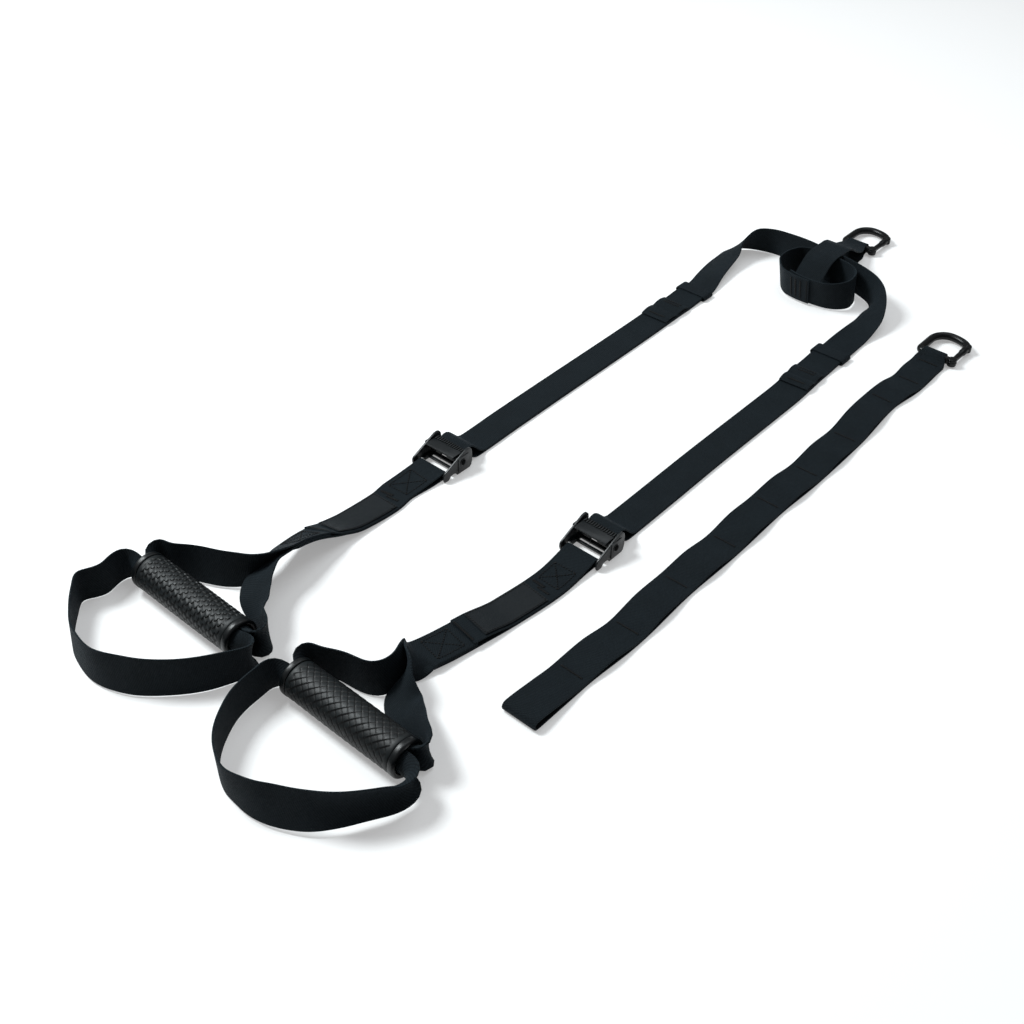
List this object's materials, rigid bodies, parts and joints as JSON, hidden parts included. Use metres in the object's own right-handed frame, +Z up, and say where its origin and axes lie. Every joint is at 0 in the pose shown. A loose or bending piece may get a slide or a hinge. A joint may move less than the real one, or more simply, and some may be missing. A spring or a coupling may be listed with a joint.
{
  "type": "suspension trainer",
  "caption": "Webbing suspension trainer laid flat: grips in fabric straps, cam buckles on adjustable legs, locking and equalizer loops, gated carabiners and a stitched anchor strap.",
  "frame": {"origin": "On the floor, under the middle of the box round the whole laid-out trainer", "axes": "+Y along the legs from the handles towards the carabiners, +Z up from the floor, +X across towards the anchor strap"},
  "size_m": [0.447, 1.2088, 0.0448],
  "materials": {
    "webbing": "matte black woven webbing",
    "label": "bare black woven patch",
    "grip_rubber": "matte moulded rubber",
    "grip_plastic": "satin black plastic",
    "buckle_metal": "black powder coat",
    "carabiner_metal": "glossy black coating",
    "steel": "plain steel"
  },
  "bodies": {
    "straps": {"main_strap": "webbing", "locking_loop": "webbing", "equalizer_loop": "webbing", "keeper_left": "webbing", "keeper_right": "webbing", "buckle_frame_left": "buckle_metal", "buckle_frame_right": "buckle_metal", "cam_pin_left": "steel", "cam_pin_right": "steel", "cam_spring_left": "steel", "cam_spring_right": "steel", "handle_link_left": "webbing", "handle_link_right": "webbing", "label_patch_left": "label", "label_patch_right": "label", "hand_strap_left": "webbing", "hand_strap_right": "webbing", "foot_strap_left": "webbing", "foot_strap_right": "webbing"},
    "left_lever": {"cam_lever_left": "buckle_metal"},
    "right_lever": {"cam_lever_right": "buckle_metal"},
    "left_grip": {"grip_sleeve_left": "grip_rubber", "grip_tube_left": "grip_plastic", "grip_cap_left_end_left": "grip_plastic", "grip_cap_right_end_left": "grip_plastic"},
    "right_grip": {"grip_sleeve_right": "grip_rubber", "grip_tube_right": "grip_plastic", "grip_cap_left_end_right": "grip_plastic", "grip_cap_right_end_right": "grip_plastic"},
    "main_carabiner": {"carabiner_main": "carabiner_metal", "gate_pin_main": "steel"},
    "main_gate": {"gate_main": "carabiner_metal"},
    "anchor": {"anchor_strap": "webbing"},
    "anchor_carabiner": {"carabiner_anchor": "carabiner_metal", "gate_pin_anchor": "steel"},
    "anchor_gate": {"gate_anchor": "carabiner_metal"}
  },
  "joints": [
    {"name": "left_cam_press", "type": "hinge", "parent": "straps", "child": "left_lever", "pos_m": [-0.10353, -0.16235, 0.01364], "axis": [1, 0, 0], "range_deg": [0, 22], "stiffness_Nm_per_rad": 0.1, "springref_deg": -17.19, "deforming": ["cam_spring_left"]},
    {"name": "right_cam_press", "type": "hinge", "parent": "straps", "child": "right_lever", "pos_m": [0.10347, -0.16235, 0.01364], "axis": [1, 0, 0], "range_deg": [0, 22], "stiffness_Nm_per_rad": 0.1, "springref_deg": -17.19, "deforming": ["cam_spring_right"]},
    {"name": "left_grip_roll", "type": "hinge", "parent": "straps", "child": "left_grip", "pos_m": [-0.11553, -0.4904, 0.01914], "axis": [1, 0, 0], "continuous": true},
    {"name": "right_grip_roll", "type": "hinge", "parent": "straps", "child": "right_grip", "pos_m": [0.09552, -0.48746, 0.01914], "axis": [1, 0, 0], "continuous": true},
    {"name": "main_carabiner_swing", "type": "hinge", "parent": "straps", "child": "main_carabiner", "pos_m": [-0.00959, 0.54915, 0.00699], "axis": [1, 0, 0], "range_deg": [0, 105]},
    {"name": "main_gate_press", "type": "hinge", "parent": "main_carabiner", "child": "main_gate", "pos_m": [0.01166, 0.54915, 0.00699], "axis": [0, 0, 1], "range_deg": [0, 25], "stiffness_Nm_per_rad": 0.05, "springref_deg": -17.19},
    {"name": "anchor_strap_lift", "type": "slide", "parent": "straps", "child": "anchor", "axis": [0, 0, 1], "range_m": [0, 0.2]},
    {"name": "anchor_carabiner_swing", "type": "hinge", "parent": "anchor", "child": "anchor_carabiner", "pos_m": [0.19747, 0.37165, 0.00699], "axis": [1, 0, 0], "range_deg": [0, 120]},
    {"name": "anchor_gate_press", "type": "hinge", "parent": "anchor_carabiner", "child": "anchor_gate", "pos_m": [0.21872, 0.37165, 0.00699], "axis": [0, 0, 1], "range_deg": [0, 25], "stiffness_Nm_per_rad": 0.05, "springref_deg": -17.19}
  ]
}
